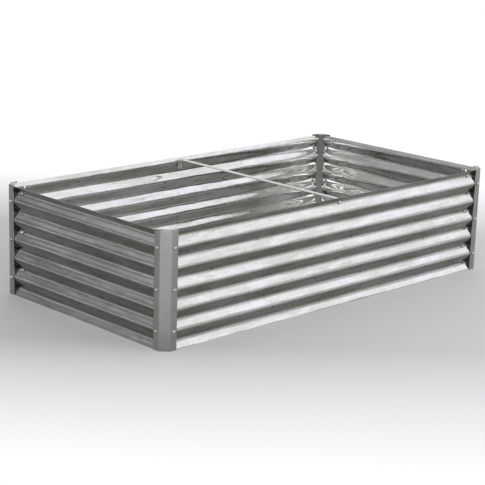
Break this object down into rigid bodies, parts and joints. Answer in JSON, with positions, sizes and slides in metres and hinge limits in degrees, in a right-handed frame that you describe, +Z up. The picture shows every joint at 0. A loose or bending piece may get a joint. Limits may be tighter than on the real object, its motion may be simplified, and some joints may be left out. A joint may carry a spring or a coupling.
{
  "type": "raised garden bed",
  "caption": "Rectangular raised garden bed of corrugated galvanised sheet, bolted between chamfered corner posts, with a flat cross strap; open at the top and the bottom.",
  "frame": {"origin": "centre of the footprint, on the ground", "axes": "+X along the long walls, +Y from the front wall to the back wall, +Z up"},
  "size_m": [1.227, 0.657, 0.3],
  "materials": {
    "corrugated_sheet": "hot-dip galvanised, bright, with a fine spangle",
    "post_steel": "galvanised, matt grey",
    "strap_steel": "galvanised, satin",
    "fastener": "zinc plated, satin"
  },
  "bodies": {
    "root": {"cross_strap": "strap_steel", "post_back_left": "post_steel", "post_back_right": "post_steel", "post_bolt_back_left_1": "fastener", "post_bolt_back_left_2": "fastener", "post_bolt_back_left_3": "fastener", "post_bolt_back_right_1": "fastener", "post_bolt_back_right_2": "fastener", "post_bolt_back_right_3": "fastener", "post_bolt_front_left_1": "fastener", "post_bolt_front_left_2": "fastener", "post_bolt_front_left_3": "fastener", "post_bolt_front_right_1": "fastener", "post_bolt_front_right_2": "fastener", "post_bolt_front_right_3": "fastener", "post_bolt_left_back_1": "fastener", "post_bolt_left_back_2": "fastener", "post_bolt_left_back_3": "fastener", "post_bolt_left_front_1": "fastener", "post_bolt_left_front_2": "fastener", "post_bolt_left_front_3": "fastener", "post_bolt_right_back_1": "fastener", "post_bolt_right_back_2": "fastener", "post_bolt_right_back_3": "fastener", "post_bolt_right_front_1": "fastener", "post_bolt_right_front_2": "fastener", "post_bolt_right_front_3": "fastener", "post_front_left": "post_steel", "post_front_right": "post_steel", "slot_bolt_back_left_1": "fastener", "slot_bolt_back_left_2": "fastener", "slot_bolt_back_left_3": "fastener", "slot_bolt_front_right_1": "fastener", "slot_bolt_front_right_2": "fastener", "slot_bolt_front_right_3": "fastener", "slot_bolt_left_back_1": "fastener", "slot_bolt_left_back_2": "fastener", "slot_bolt_left_back_3": "fastener", "slot_bolt_right_front_1": "fastener", "slot_bolt_right_front_2": "fastener", "slot_bolt_right_front_3": "fastener", "strap_bolt_back": "fastener", "strap_bolt_front": "fastener", "strap_nut_back": "fastener", "strap_nut_front": "fastener", "wall_back": "corrugated_sheet", "wall_front": "corrugated_sheet", "wall_left": "corrugated_sheet", "wall_right": "corrugated_sheet"}
  },
  "joints": []
}
